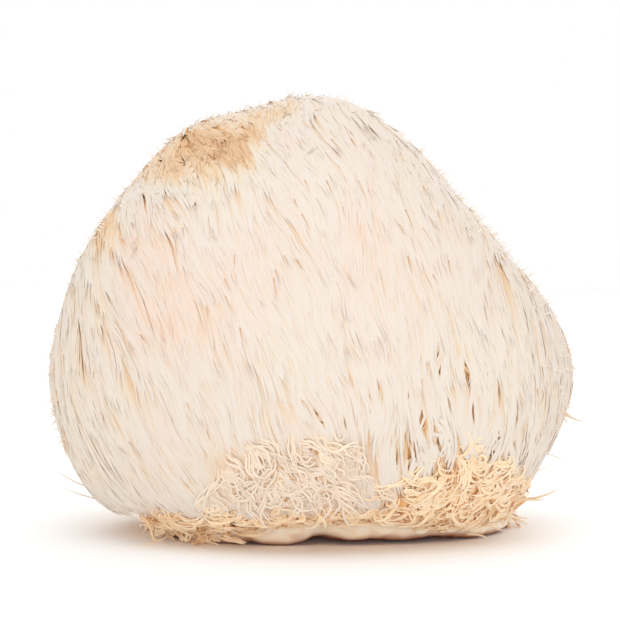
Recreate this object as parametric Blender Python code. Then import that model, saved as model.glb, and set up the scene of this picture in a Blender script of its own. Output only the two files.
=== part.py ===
"""Lion's mane mushroom, one fruit body resting on the foot where it was picked.

Metres, +Z up. The origin is the middle of the flat cut under the foot.
The body is a rounded mass fitted to four side profiles. Each face of its coat is drawn out into
a spine that hangs along the body, and the foot with its hollows is joined on from below.
"""

import math

import bmesh
import bpy
import numpy as np
from mathutils import Vector

MM = 0.001

# Profiles of the coat's outer surface, from the crown to inside the foot.
# Each point is (distance from the axis, height) in mm.
RIGHT_PROFILE = (
    (0, 132), (10, 131), (26, 122), (46, 101), (61, 83), (77.5, 58), (81, 44),
    (79, 30), (70, 15), (67, 6), (50, 3), (0, 9),
)
LEFT_PROFILE = (
    (0, 132), (20, 128), (38, 129), (48, 121), (57, 108), (69, 88), (78, 62), (80.5, 42),
    (75, 19), (67, 8), (50, 3), (0, 9),
)
FRONT_PROFILE = (
    (0, 132), (18, 127), (38, 113), (54, 92), (66, 66), (70, 46),
    (68, 29), (61, 15), (53, 8), (36, 5), (0, 9),
)
BACK_PROFILE = (
    (0, 132), (18, 127), (39, 112), (54, 91), (65, 66), (69, 46),
    (66, 29), (59, 15), (51, 8), (36, 5), (0, 9),
)
MIDDLE = 55               # mm, the height that the profiles are seen from
ROUNDING = 9              # degrees, over which a profile's corners are rounded

CELLS = 11                # faces along one edge of the cube that becomes the body
CELL_DRIFT = 0.13         # share of a face's width that its corners stray
COAT_DEPTH = 7.0          # mm from the coat's outer surface down to the spines' roots
WHORL = (-36, 0, 122)     # mm, the spot on the left shoulder that the spines comb away from
WHORL_PULL = 0.6          # share of that combing against gravity's
SPINE_LENGTH = 19.0       # mm, on the flanks
WORN_LENGTH = 12.0        # mm, at the whorl
WORN_REACH = 45.0         # mm around the whorl where the spines are shorter
MIDDLE_SHARE = 0.5        # where along a spine its bend is
MIDDLE_RISE = 0.6         # the bend's share of the coat's depth
WIDTH_SCALE = 0.6         # a spine's width at the bend, against its root
THICK_SCALE = 0.2         # its thickness there, against its root's length
TIP_SPREAD = 0.5          # mm that tips end above or below the coat's outer surface
STRAY = 0.1               # how far a spine strays to one side, against its length
BEND_STRAY = 0.33         # the share of that by its bend
COAT_EDGE = 127           # degrees from the crown, which the coat's lowest tips reach
EDGE_PULL = 1.5           # mm of spine for each degree that its root is above that edge
CURL_START = 117          # degrees from the crown, where the spines turn into curls
SKIN_START = 133          # degrees from the crown, where the foot's bare skin begins
CURL_SHORTEST = 0.7       # mm, right under the coat's edge
CURL_LENGTH = 4.0         # mm, at the bare skin
CURL_SWING = 0.35         # how far a curl swings aside, against its length
CURL_SCALE = 0.5          # a curl's width at its bend, against its root
CURL_BEND = 0.6           # where along a curl its bend is
CURL_DROOP = 0.4          # how far a curl's tip hangs, against its length
SEED = 6

# The body's slow swellings: each wave's direction in radians per mm, its phase and its height in mm.
LUMPS = (((0.07, 0.08, 0.0), 0.9, 0.7), ((0.06, 0.0, 0.09), 2.1, 0.6), ((0.0, 0.12, 0.09), 1.6, 0.5))

# The foot's outline: its reach in mm every 30 degrees, from the right round by the back.
FOOT_REACH = (60, 52, 44, 41, 42, 44, 45, 48, 43, 39, 42, 54)
FOOT_COLUMNS = 48
FOOT_ROUNDING = 20        # degrees, over which the outline's corners are rounded
# The foot's rings: share of the outline, height above the cut in mm, share of the hollows' lift.
FOOT_RINGS = (
    (0.35, 0, 1), (0.7, 0, 1), (0.95, 0, 1), (1.0, 1.5, 1), (1.03, 5, 0.5), (1.0, 9, 0), (0.85, 15, 0),
)
# Each hollow under the foot's edge: direction and half width in degrees, height in mm.
HOLLOWS = (
    (243, 5, 1.2), (272, 7, 3.0), (290, 16, 2.0), (318, 11, 3.2), (15, 10, 3.0), (100, 9, 3.4), (165, 8, 2.6),
)
FLAT_SHARE = 0.45         # of the foot's reach that stays flat, inside the hollows
HOLLOW_CURVE = 1.5        # how late towards the edge a hollow rises


def softened(asked, known, values, rounding):
    """Values between known angles, in degrees, with each corner rounded over its neighbourhood."""
    spread = np.linspace(-rounding, rounding, 37)
    window = 1 + np.cos(math.pi * spread / rounding)
    return np.interp(asked[:, None] + spread, known, values) @ window / window.sum()


def side_distances(profile, polar):
    """How far one profile lies from the middle, at angles in degrees from the crown."""
    reach, height = np.array(profile, float).T
    angles = np.degrees(np.arctan2(reach, height - MIDDLE))
    distances = np.hypot(reach, height - MIDDLE)
    known = np.concatenate([-angles[:0:-1], angles, 360 - angles[-2::-1]])
    values = np.concatenate([distances[:0:-1], distances, distances[-2::-1]])
    return softened(polar, known, values, ROUNDING)


def coat_surface(directions):
    """The coat's outer surface in mm, along unit directions from the body's middle."""
    x, y, z = directions.T
    polar = np.degrees(np.arccos(np.clip(z, -1, 1)))
    across = np.maximum(np.hypot(x, y), 1e-9)
    sides = ((x, RIGHT_PROFILE), (y, BACK_PROFILE), (-x, LEFT_PROFILE), (-y, FRONT_PROFILE))
    distance = 0.0
    for side, profile in sides:
        distance = distance + np.maximum(side / across, 0) ** 2 * side_distances(profile, polar)
    points = directions * distance[:, None]
    distance += sum(height * np.sin(points @ np.array(wave) + phase) for wave, phase, height in LUMPS)
    return directions * distance[:, None] + (0, 0, MIDDLE)


def unit(vectors):
    return vectors / np.linalg.norm(vectors, axis=1)[:, None]


def coat_normals(directions):
    """Outward unit normals of the coat's surface."""
    step = 0.01
    nearly_up = (0.01, 0.02, 1.0)
    side = unit(np.cross(directions, nearly_up))
    down = np.cross(directions, side)
    across = coat_surface(unit(directions + side * step)) - coat_surface(unit(directions - side * step))
    along = coat_surface(unit(directions + down * step)) - coat_surface(unit(directions - down * step))
    return unit(np.cross(across, along))


def on_coat(points, depth):
    """The places straight below or above points in mm, at a depth under the coat's surface."""
    directions = unit(points - (0, 0, MIDDLE))
    return coat_surface(directions) - coat_normals(directions) * depth


def combed(points, normals):
    """The way a spine hangs at each point: down and away from the whorl, flat on the body."""
    pull = np.array((0.0, 0.0, -1.0)) + unit(points - WHORL) * WHORL_PULL
    return unit(pull - normals * (pull * normals).sum(1)[:, None])


def body_mesh(rng):
    """The body in even four-sided faces: a cube, divided and rounded to the coat's roots."""
    mesh = bmesh.new()
    bmesh.ops.create_cube(mesh, size=2)
    bmesh.ops.subdivide_edges(mesh, edges=mesh.edges[:], cuts=CELLS - 1, use_grid_fill=True)
    corners = np.tan(np.array([v.co for v in mesh.verts]) * math.pi / 4)
    directions = unit(corners)
    directions = unit(directions + rng.uniform(-1, 1, directions.shape) * CELL_DRIFT * 2 / CELLS)
    for vert, point in zip(mesh.verts, on_coat(coat_surface(directions), COAT_DEPTH)):
        vert.co = point
    return mesh


def grow_spines(mesh, rng):
    """Draws each face of the coat out into one hanging, bent, pointed spine."""
    middle = Vector((0, 0, MIDDLE))
    crown = Vector((0, 0, 1))
    skin = math.radians(SKIN_START)
    coat = [face for face in mesh.faces if (face.calc_center_median() - middle).angle(crown) < skin]
    tops = bmesh.ops.extrude_discrete_faces(mesh, faces=coat)["faces"]
    roots = np.array([top.calc_center_median() for top in tops])
    directions = unit(roots - (0, 0, MIDDLE))
    polar = np.degrees(np.arccos(directions[:, 2]))
    normals = coat_normals(directions)
    hang = combed(roots, normals)
    aside = np.cross(normals, hang)
    worn = np.clip(1 - np.linalg.norm(roots - WHORL, axis=1) / WORN_REACH, 0, 1)
    length = SPINE_LENGTH + (WORN_LENGTH - SPINE_LENGTH) * worn
    length = np.minimum(length, (COAT_EDGE - polar) * EDGE_PULL) * rng.uniform(0.9, 1.1, len(tops))
    swing = rng.uniform(-STRAY, STRAY, len(tops)) * length
    bends = roots + hang * (length * MIDDLE_SHARE)[:, None] + aside * (swing * BEND_STRAY)[:, None]
    bends = on_coat(bends, COAT_DEPTH * (1 - MIDDLE_RISE))
    upward = coat_normals(unit(bends - (0, 0, MIDDLE)))
    onward = combed(bends, upward)
    depth = rng.uniform(-TIP_SPREAD, TIP_SPREAD, (len(tops), 1))
    tips = bends + onward * (length * (1 - MIDDLE_SHARE))[:, None]
    tips = on_coat(tips + aside * (swing * (1 - BEND_STRAY))[:, None], depth)
    for k, top in enumerate(tops):
        if polar[k] > CURL_START:
            share = (polar[k] - CURL_START) / (SKIN_START - CURL_START)
            curl_up(mesh, top, Vector(normals[k]), Vector(hang[k]), share, rng)
            continue
        across = Vector(np.cross(upward[k], onward[k]))
        for vert in top.verts:
            offset = np.array(vert.co) - roots[k]
            wide = across * (offset @ aside[k] * WIDTH_SCALE)
            thick = Vector(upward[k]) * (offset @ hang[k] * THICK_SCALE)
            vert.co = Vector(bends[k]) + wide - thick
        bmesh.ops.poke(mesh, faces=[top])["verts"][0].co = tips[k]


def curl_up(mesh, top, normal, hang, share, rng):
    """Draws one face under the coat's edge out into a curl, longer as it nears the bare skin."""
    root = top.calc_center_median()
    length = (CURL_SHORTEST + (CURL_LENGTH - CURL_SHORTEST) * share) * rng.uniform(0.85, 1.15)
    swing = normal.cross(hang) * rng.choice((-1, 1)) * CURL_SWING * length
    for vert in top.verts:
        vert.co = root + (vert.co - root) * CURL_SCALE + normal * (length * CURL_BEND) + swing / 2
    tip = root + (normal + hang * CURL_DROOP) * length - swing
    bmesh.ops.poke(mesh, faces=[top])["verts"][0].co = tip


def foot_outline(turns):
    """The foot's reach in mm at angles in degrees."""
    known = np.arange(-360, 720, 30)
    return softened(turns, known, FOOT_REACH * 3, FOOT_ROUNDING)


def hollow_heights(turns, share):
    """How far the hollows lift the foot's underside, at angles in degrees and a share of its reach."""
    inward = min(max((share - FLAT_SHARE) / (1 - FLAT_SHARE), 0), 1)
    height = np.zeros(len(turns))
    for direction, half_width, most in HOLLOWS:
        off = (turns - direction + 180) % 360 - 180
        height += most * np.exp(-((off / half_width) ** 2))
    return height * inward**HOLLOW_CURVE


def foot_mesh():
    """The foot: a flat cut with hollows under its edge, and a soft wall running up into the body."""
    mesh = bmesh.new()
    turns = np.arange(FOOT_COLUMNS) * 360 / FOOT_COLUMNS
    ways = np.array([np.cos(np.radians(turns)), np.sin(np.radians(turns))])
    loops = []
    for share, height, lift in FOOT_RINGS:
        x, y = ways * foot_outline(turns) * share
        up = height + lift * hollow_heights(turns, share)
        loops.append([mesh.verts.new(point) for point in zip(x, y, up)])
    mesh.faces.new(reversed(loops[0]))
    mesh.faces.new(loops[-1])
    for lower, upper in zip(loops, loops[1:]):
        for column in range(FOOT_COLUMNS):
            after = (column + 1) % FOOT_COLUMNS
            mesh.faces.new((lower[column], lower[after], upper[after], upper[column]))
    return mesh


def flesh():
    """Cream fungus flesh: matt and a little moist."""
    material = bpy.data.materials.new("fungus_flesh")
    material.use_nodes = True
    shader = material.node_tree.nodes["Principled BSDF"]
    shader.inputs["Base Color"].default_value = (0.84, 0.73, 0.58, 1)
    shader.inputs["Roughness"].default_value = 0.7
    shader.inputs["Metallic"].default_value = 0.0
    return material


def object_of(name, mesh):
    """One object from a bmesh in mm, set down in metres."""
    bmesh.ops.scale(mesh, vec=(MM, MM, MM), verts=mesh.verts)
    data = bpy.data.meshes.new(name)
    mesh.to_mesh(data)
    mesh.free()
    made = bpy.data.objects.new(name, data)
    bpy.context.collection.objects.link(made)
    return made


def main():
    for old in list(bpy.data.objects):
        bpy.data.objects.remove(old)
    rng = np.random.default_rng(SEED)
    mesh = body_mesh(rng)
    grow_spines(mesh, rng)
    body = object_of("fruit_body", mesh)
    body.data.materials.append(flesh())
    foot = object_of("foot", foot_mesh())
    foot.hide_render = True
    foot.display_type = "WIRE"
    join = body.modifiers.new("join_foot", "BOOLEAN")
    join.operation = "UNION"
    join.object = foot


main()
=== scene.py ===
# %% [markdown]
# # A lion's mane mushroom, in Blender
# The mushroom is one solid, spongy fruit body. Thousands of soft spines hang from it like combed
# hair, shorter ones curl up under its skirt, and it rests on the smooth foot where it was picked.
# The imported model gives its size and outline. Here that solid is replaced by a finer one of the
# same form, and the spines are grown on it one by one, as small tapered tubes.

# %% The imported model, and tools that every step shares
import math

import bpy
import numpy as np
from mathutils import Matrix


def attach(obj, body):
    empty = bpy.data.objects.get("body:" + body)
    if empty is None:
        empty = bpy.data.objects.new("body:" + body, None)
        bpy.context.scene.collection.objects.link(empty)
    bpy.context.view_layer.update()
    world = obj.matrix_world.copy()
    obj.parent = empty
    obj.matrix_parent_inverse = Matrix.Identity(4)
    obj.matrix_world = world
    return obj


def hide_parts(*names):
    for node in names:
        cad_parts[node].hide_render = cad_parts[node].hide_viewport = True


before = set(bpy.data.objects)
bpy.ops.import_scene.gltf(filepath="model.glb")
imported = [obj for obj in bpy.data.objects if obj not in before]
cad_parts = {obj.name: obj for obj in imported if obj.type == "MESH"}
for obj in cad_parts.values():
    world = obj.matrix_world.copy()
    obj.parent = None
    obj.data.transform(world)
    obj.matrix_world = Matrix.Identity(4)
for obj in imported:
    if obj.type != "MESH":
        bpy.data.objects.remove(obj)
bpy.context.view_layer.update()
MM = 0.001                # m


# %% [markdown]
# ## Camera, floor and light
# The photograph is a product shot: a long lens almost level with the table, a white floor that
# runs into a white background, and light from all round with a little more from the front. A
# white world gives the even light, and large soft lamps give the coat just enough shape.


# %% The camera
def add(made, name):
    """Puts one object into the scene."""
    item = bpy.data.objects.new(name, made)
    bpy.context.collection.objects.link(item)
    return item


PICTURE = 620             # pixels across the picture
CAMERA_AWAY = 0.8         # m from what it looks at
CAMERA_TILT = 3.5         # degrees above level
LOOKS_AT = 0.0632         # m above the table
FIELD = 0.1886            # m across the picture, at what it looks at
OFF_MIDDLE = (-3, 11)     # pixels that the lens is shifted across and up
SENSOR = 36.0             # mm

lens = bpy.data.cameras.new("camera")
lens.sensor_width = SENSOR
lens.lens = SENSOR * CAMERA_AWAY / FIELD
lens.shift_x, lens.shift_y = (pixels / PICTURE for pixels in OFF_MIDDLE)
lens.clip_start = 0.01
camera = add(lens, "camera")
tilt = math.radians(CAMERA_TILT)
camera.location = (0, -CAMERA_AWAY * math.cos(tilt), LOOKS_AT + CAMERA_AWAY * math.sin(tilt))
camera.rotation_euler = (math.pi / 2 - tilt, 0, 0)
bpy.context.scene.camera = camera
bpy.context.scene.view_settings.view_transform = "Standard"
# Pale flesh passes light on from spine to spine many times before it dies away.
bpy.context.scene.cycles.diffuse_bounces = 10
bpy.context.scene.cycles.max_bounces = 14
print("lens, mm:", round(lens.lens, 1))


# %% A node helper and the colours
def srgb(text):
    """A hex colour, such as F0E6D8, as linear light."""
    parts = [int(text[k:k + 2], 16) / 255 for k in (0, 2, 4)]
    return [p / 12.92 if p <= 0.04045 else ((p + 0.055) / 1.055) ** 2.4 for p in parts] + [1.0]


def node(tree, kind, settings=(), stops=(), **links):
    """Adds one node and gives it back.

    Settings are the node's own properties, and stops a colour ramp's places and hex colours.
    Links go to its sockets: by name, or by number as in _0.
    """
    made = tree.nodes.new("ShaderNode" + kind)
    for name, value in dict(settings).items():
        setattr(made, name, value)
    for k, (place, text) in enumerate(stops):
        band = made.color_ramp.elements
        stop = band[k] if k < 2 else band.new(place)
        stop.position, stop.color = place, srgb(text)
    for name, value in links.items():
        key = int(name[1:]) if name[1:].isdigit() else name.replace("_", " ")
        if isinstance(value, bpy.types.Node):
            value = value.outputs[0]
        if isinstance(value, bpy.types.NodeSocket):
            tree.links.new(value, made.inputs[key])
        else:
            made.inputs[key].default_value = value
    return made


def new_material(name, **settings):
    """A material, its tree and its shader, with the shader's own sockets set."""
    made = bpy.data.materials.new(name)
    made.use_nodes = True
    shader = made.node_tree.nodes["Principled BSDF"]
    for socket, value in settings.items():
        shader.inputs[socket.replace("_", " ")].default_value = value
    return made, made.node_tree, shader


# %% The floor and the lights
FLOOR_REACH = 1.5         # m each way

paper, _, _ = new_material("white_paper", Base_Color=srgb("FBFBFB"), Roughness=0.9)
floor_mesh = bpy.data.meshes.new("floor")
corners = [(x * FLOOR_REACH, y * FLOOR_REACH, 0) for x, y in ((-1, -1), (1, -1), (1, 1), (-1, 1))]
floor_mesh.from_pydata(corners, [], [(0, 1, 2, 3)])
floor_mesh.materials.append(paper)
floor = add(floor_mesh, "floor")

world = bpy.data.worlds.new("white_room")
world.use_nodes = True
world.node_tree.nodes["Background"].inputs["Color"].default_value = (1.0, 1.0, 1.0, 1)
world.node_tree.nodes["Background"].inputs["Strength"].default_value = 1.0
bpy.context.scene.world = world

# Each soft lamp: name, place and aim in m, size in m, power in W.
LAMPS = (
    ("key", (0.05, -1.4, 0.19), (0, 0, 0.03), 0.36, 2.7),
    ("top", (0.0, -0.45, 1.5), (0, -0.1, 0.0), 1.2, 3.2),
    ("back", (0.2, 1.3, 0.5), (0, 0, 0.05), 1.0, 4.0),
)
for name, place, aim, size, power in LAMPS:
    lamp = bpy.data.lights.new(name, "AREA")
    lamp.shape = "DISK"
    lamp.size = size
    lamp.energy = power
    item = add(lamp, name)
    item.location = place
    way = np.array(aim) - place
    item.rotation_euler = (
        math.atan2(math.hypot(way[0], way[1]), -way[2]), 0, math.atan2(way[0], -way[1]) + math.pi)
print("lamps:", len(LAMPS))

# %% [markdown]
# ## The form of the coat
# A mushroom this shape could be sculpted, or lofted from sections. Four side profiles, blended by
# how far a direction faces each side, are easier to steer: each profile can be drawn from one
# view, and any point on the body can then be asked for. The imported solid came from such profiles
# too. Here they were drawn once more along the photograph's outline, and lie a few millimetres
# further in at the upper left and low on the sides.

# %% The side profiles, in mm
RIGHT_PROFILE = (
    (0, 131), (10, 129.5), (25, 120), (45, 100.5), (60, 82.5), (76.5, 58), (80, 44),
    (77, 30), (68, 17), (62, 7), (50, 3), (0, 9),
)
LEFT_PROFILE = (
    (0, 131), (20, 126.5), (38.5, 123.5), (47.5, 115.5), (56.5, 103.8), (67, 87.5), (77.5, 62),
    (79.5, 42), (72.5, 19), (64, 8), (50, 3), (0, 9),
)
FRONT_PROFILE = (
    (0, 131), (18, 126), (38, 112.5), (54, 92), (66, 66), (70, 46),
    (68, 29), (61, 15), (53, 8), (36, 5), (0, 9),
)
BACK_PROFILE = (
    (0, 131), (18, 126), (39, 112), (54, 91), (65, 66), (69, 46),
    (66, 29), (59, 15), (51, 8), (36, 5), (0, 9),
)
MIDDLE = 55               # mm, the height that the profiles are seen from
ROUNDING = 9              # degrees, over which a profile's corners are rounded
WINDOW_POINTS = 37        # places that one rounded value is the mean of
TABLE = np.arange(0, 180.01, 0.5)   # degrees from the crown, where the profiles are tabled


def softened(asked, known, values, rounding):
    """Values between known angles, in degrees, with each corner rounded over its neighbourhood."""
    spread = np.linspace(-rounding, rounding, WINDOW_POINTS)
    window = 1 + np.cos(math.pi * spread / rounding)
    return np.interp(asked[:, None] + spread, known, values) @ window / window.sum()


def around(asked, known, values, rounding):
    """Softened values at angles in degrees, where the known ones go once round."""
    known, values = np.array(known, float), np.array(values, float)
    whole = np.concatenate([known - 360, known, known + 360])
    return softened(asked, whole, np.tile(values, 3), rounding)


def side_table(profile):
    """How far one profile lies from the middle, at each angle of TABLE from the crown."""
    reach, height = np.array(profile, float).T
    angles = np.degrees(np.arctan2(reach, height - MIDDLE))
    distances = np.hypot(reach, height - MIDDLE)
    known = np.concatenate([-angles[:0:-1], angles, 360 - angles[-2::-1]])
    values = np.concatenate([distances[:0:-1], distances, distances[-2::-1]])
    return softened(TABLE, known, values, ROUNDING)


PROFILES = (RIGHT_PROFILE, BACK_PROFILE, LEFT_PROFILE, FRONT_PROFILE)
SIDES = [side_table(profile) for profile in PROFILES]
print("farthest from the middle, mm:", [round(side.max(), 1) for side in SIDES])

# %% Directions, and the coat's surface
# Each slow swelling: its change in radians per mm along x, y and z, its phase, its height in mm.
LUMPS = (
    ((0.07, 0.08, 0.0), 0.9, 0.7), ((0.06, 0.0, 0.09), 2.1, 0.6), ((0.0, 0.12, 0.09), 1.6, 0.5),
)
NORMAL_STEP = 0.01        # how far apart the points lie that a normal is measured from


def dice(seed):
    """A source of chance that gives the same numbers on each run."""
    return np.random.default_rng(seed)


def unit(vectors):
    """The same vectors, one long."""
    return vectors / np.linalg.norm(vectors, axis=-1, keepdims=True)


def bump(values, middle, reach, power=2):
    """1 at the middle, and nearly 0 from about twice the reach."""
    return np.exp(-(((values - middle) / reach) ** power))


def near(points, middle, reach, power=1):
    """1 for points at the middle, falling off round it in the same way."""
    return np.exp(-((((points - middle) ** 2).sum(1) / reach**2) ** power))


def polar_of(directions):
    """Degrees from the crown."""
    return np.degrees(np.arccos(np.clip(directions[:, 2], -1, 1)))


def turn_of(directions):
    """Degrees round from the right side by the back."""
    return np.degrees(np.arctan2(directions[:, 1], directions[:, 0])) % 360


def ways_at(turns, polars):
    """Unit directions at so many degrees round and from the crown."""
    turns, polars = np.broadcast_arrays(np.radians(turns), np.radians(polars))
    flat = np.sin(polars)
    return np.stack([flat * np.cos(turns), flat * np.sin(turns), np.cos(polars)], -1)


def coat_surface(directions):
    """The coat's outer surface in mm, along unit directions from the body's middle."""
    x, y, _ = directions.T
    polar = polar_of(directions)
    across = np.maximum(np.hypot(x, y), 1e-9)
    distance = 0.0
    for side, table in zip((x, y, -x, -y), SIDES):
        distance = distance + np.maximum(side / across, 0) ** 2 * np.interp(polar, TABLE, table)
    points = directions * distance[:, None]
    lumps = sum(height * np.sin(points @ np.array(wave) + phase) for wave, phase, height in LUMPS)
    return directions * (distance + lumps)[:, None] + (0, 0, MIDDLE)


def coat_normals(directions):
    """Outward unit normals of the coat's surface."""
    side = unit(np.cross(directions, (0.01, 0.02, 1.0)))
    slopes = []
    for way in (side, np.cross(directions, side)):
        step = way * NORMAL_STEP
        slopes.append(coat_surface(unit(directions + step)) - coat_surface(unit(directions - step)))
    return unit(np.cross(*slopes))


def coat_at(directions):
    """Points of the coat's surface in mm, and its normals there."""
    return coat_surface(directions), coat_normals(directions)


def toward(points):
    """Directions from the body's middle to points in mm."""
    return unit(points - (0, 0, MIDDLE))


probes = coat_surface(unit(dice(7).normal(size=(2000, 3))))
print("coat reaches, mm:", np.abs(probes).max(0).round(1))

# %% [markdown]
# ## How the coat is combed
# Every spine hangs down, but this mushroom grew on a leaning trunk, so its coat is combed from
# the back left over the crown and down to the right. One slanted pull, laid flat on the body,
# gives each point its direction, and it hides the place where the spines part behind the crown.
# Slow waves turn neighbours a little, so that locks lean together and part. Where the coat was
# rubbed, on the left shoulder and along the crown, the spines are short and lie every way.

# %% The combing, and slow random waves
# The pull on a spine low on the body and on the crown, and between which heights it changes.
PULL_LOW, PULL_HIGH = (0.24, -0.3, -0.8), (0.4, -0.95, -0.7)
PULL_FROM, PULL_TO = 50, 108
SWIRL = 0.24              # radians, about the most that the waves turn a spine
MESS = 0.2                # radians, the same where the coat is rubbed
# Each wave of the swirl: its share, its size in mm and its seed.
SWIRLS = ((0.6, 34, 1), (0.5, 13, 2))
MESS_SIZE, MESS_SEED = 8, 3
# Each rubbed place: its middle and its reach in mm.
RUBBED = (((-36, -19, 118), 18), ((-12, -3, 129), 12))


def turned(way, aside, angles):
    """Directions turned from a way to its side by angles in radians."""
    return way * np.cos(angles)[..., None] + aside * np.sin(angles)[..., None]


def waves(points, size, seed, count=7):
    """Smooth noise from about -1 to 1 with features of about size mm."""
    draw = dice(seed)
    ways = unit(draw.normal(size=(count, 3)))
    ways = ways * (2 * math.pi / size) * draw.uniform(0.6, 1.5, (count, 1))
    phases = draw.uniform(0, 2 * math.pi, count)
    return np.sin(points @ ways.T + phases).sum(1) / math.sqrt(count) * 0.9


def rubbed_at(points):
    """How rubbed the coat is at each place, from 0 to 1."""
    return np.max([near(points, middle, reach) for middle, reach in RUBBED], axis=0)


def pull_at(points):
    """Which way gravity and the hand that set it down pull a spine."""
    high = np.clip((points[:, 2] - PULL_FROM) / (PULL_TO - PULL_FROM), 0, 1)[:, None]
    return unit(PULL_LOW + (np.array(PULL_HIGH) - PULL_LOW) * high)


def combed(points, normals):
    """The way a spine hangs at each point, flat on the body."""
    pull = pull_at(points)
    flat = unit(pull - normals * (pull * normals).sum(1)[:, None])
    turn = SWIRL * sum(share * waves(points, size, seed) for share, size, seed in SWIRLS)
    turn += MESS * waves(points, MESS_SIZE, MESS_SEED) * rubbed_at(points)
    return turned(flat, np.cross(normals, flat), turn)


# %% Where the coat ends and the skirt's curls begin
# The angle round from the right by the back and the angle from the crown, in degrees.
COAT_EDGES = (
    (0, 120), (30, 124), (90, 126), (150, 125), (185, 125), (208, 124), (228, 123), (260, 124),
    (280, 124), (291, 117), (302, 108), (314, 106), (322, 110), (330, 115), (345, 119),
)
EDGE_ROUNDING = 6         # degrees


def coat_edge(turns):
    """How many degrees from the crown the coat ends."""
    return around(turns, *zip(*COAT_EDGES), EDGE_ROUNDING)


print("coat's edge in front:", coat_edge(np.array([270.0])).round(1))

# %% [markdown]
# ## Spines
# One spine is a soft tapered rod, half to one millimetre thick. Hair curves or instances would be
# quicker to place, but they are lost when the model leaves Blender. So each spine is a closed tube
# of three sides that runs along its own path and ends in a point, and all spines of one part of
# the coat are joined in one mesh. A UV map keeps two facts for the material: a spine's tint, and
# how light it is painted at each point, by its warm root colour and by painted shade that deepens
# with the depth in the coat.


# %% The sections of a spine, and directions across its path
ROUND = ((1.0, 0.0), (-0.5, 0.87), (-0.5, -0.87))
# A spine that lies in the coat is flattened by its neighbours: a low ridge outside, flat inside.
LYING = ((1.0, -0.12), (0.0, 0.25), (-1.0, -0.12))
# A curl is rounder, but still widest where it lies on its neighbours.
HEAPED = ((1.0, -0.2), (0.0, 0.75), (-1.0, -0.2))


def headings(paths):
    """The unit direction of each path at each of its points."""
    ahead = np.empty_like(paths)
    ahead[:, 1:-1] = paths[:, 2:] - paths[:, :-2]
    ahead[:, 0] = paths[:, 1] - paths[:, 0]
    ahead[:, -1] = paths[:, -1] - paths[:, -2]
    return unit(ahead)


def frames_outward(paths, normals):
    """Two directions across each path: to its side, and out from the body."""
    ahead = headings(paths)
    side = unit(np.cross(normals, ahead))
    return side, np.cross(ahead, side)


def frames_carried(paths):
    """Two directions across each path, carried along it without twist."""
    ahead = headings(paths)
    sides = [unit(np.cross(ahead[:, 0], (0.31, 0.47, 0.83)))]
    for k in range(1, paths.shape[1]):
        carried = sides[-1] - ahead[:, k] * (sides[-1] * ahead[:, k]).sum(1)[:, None]
        sides.append(unit(carried))
    sides = np.stack(sides, 1)
    return sides, np.cross(ahead, sides)


print("sides of a spine:", len(ROUND))

# %% One mesh of tubes along many paths
SIDE_SHADE = 0.12         # painted shade: how much darker and warmer a flattened spine is coloured at its sides than on top
TABLE_GAP = 0.02          # mm, the least height of any point above the table
TINT_STEP = 0.003         # how far apart in the palette the corners of a spine's section lie
MAP_MARGIN = 0.02         # what stays free along the UV map's borders


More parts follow.
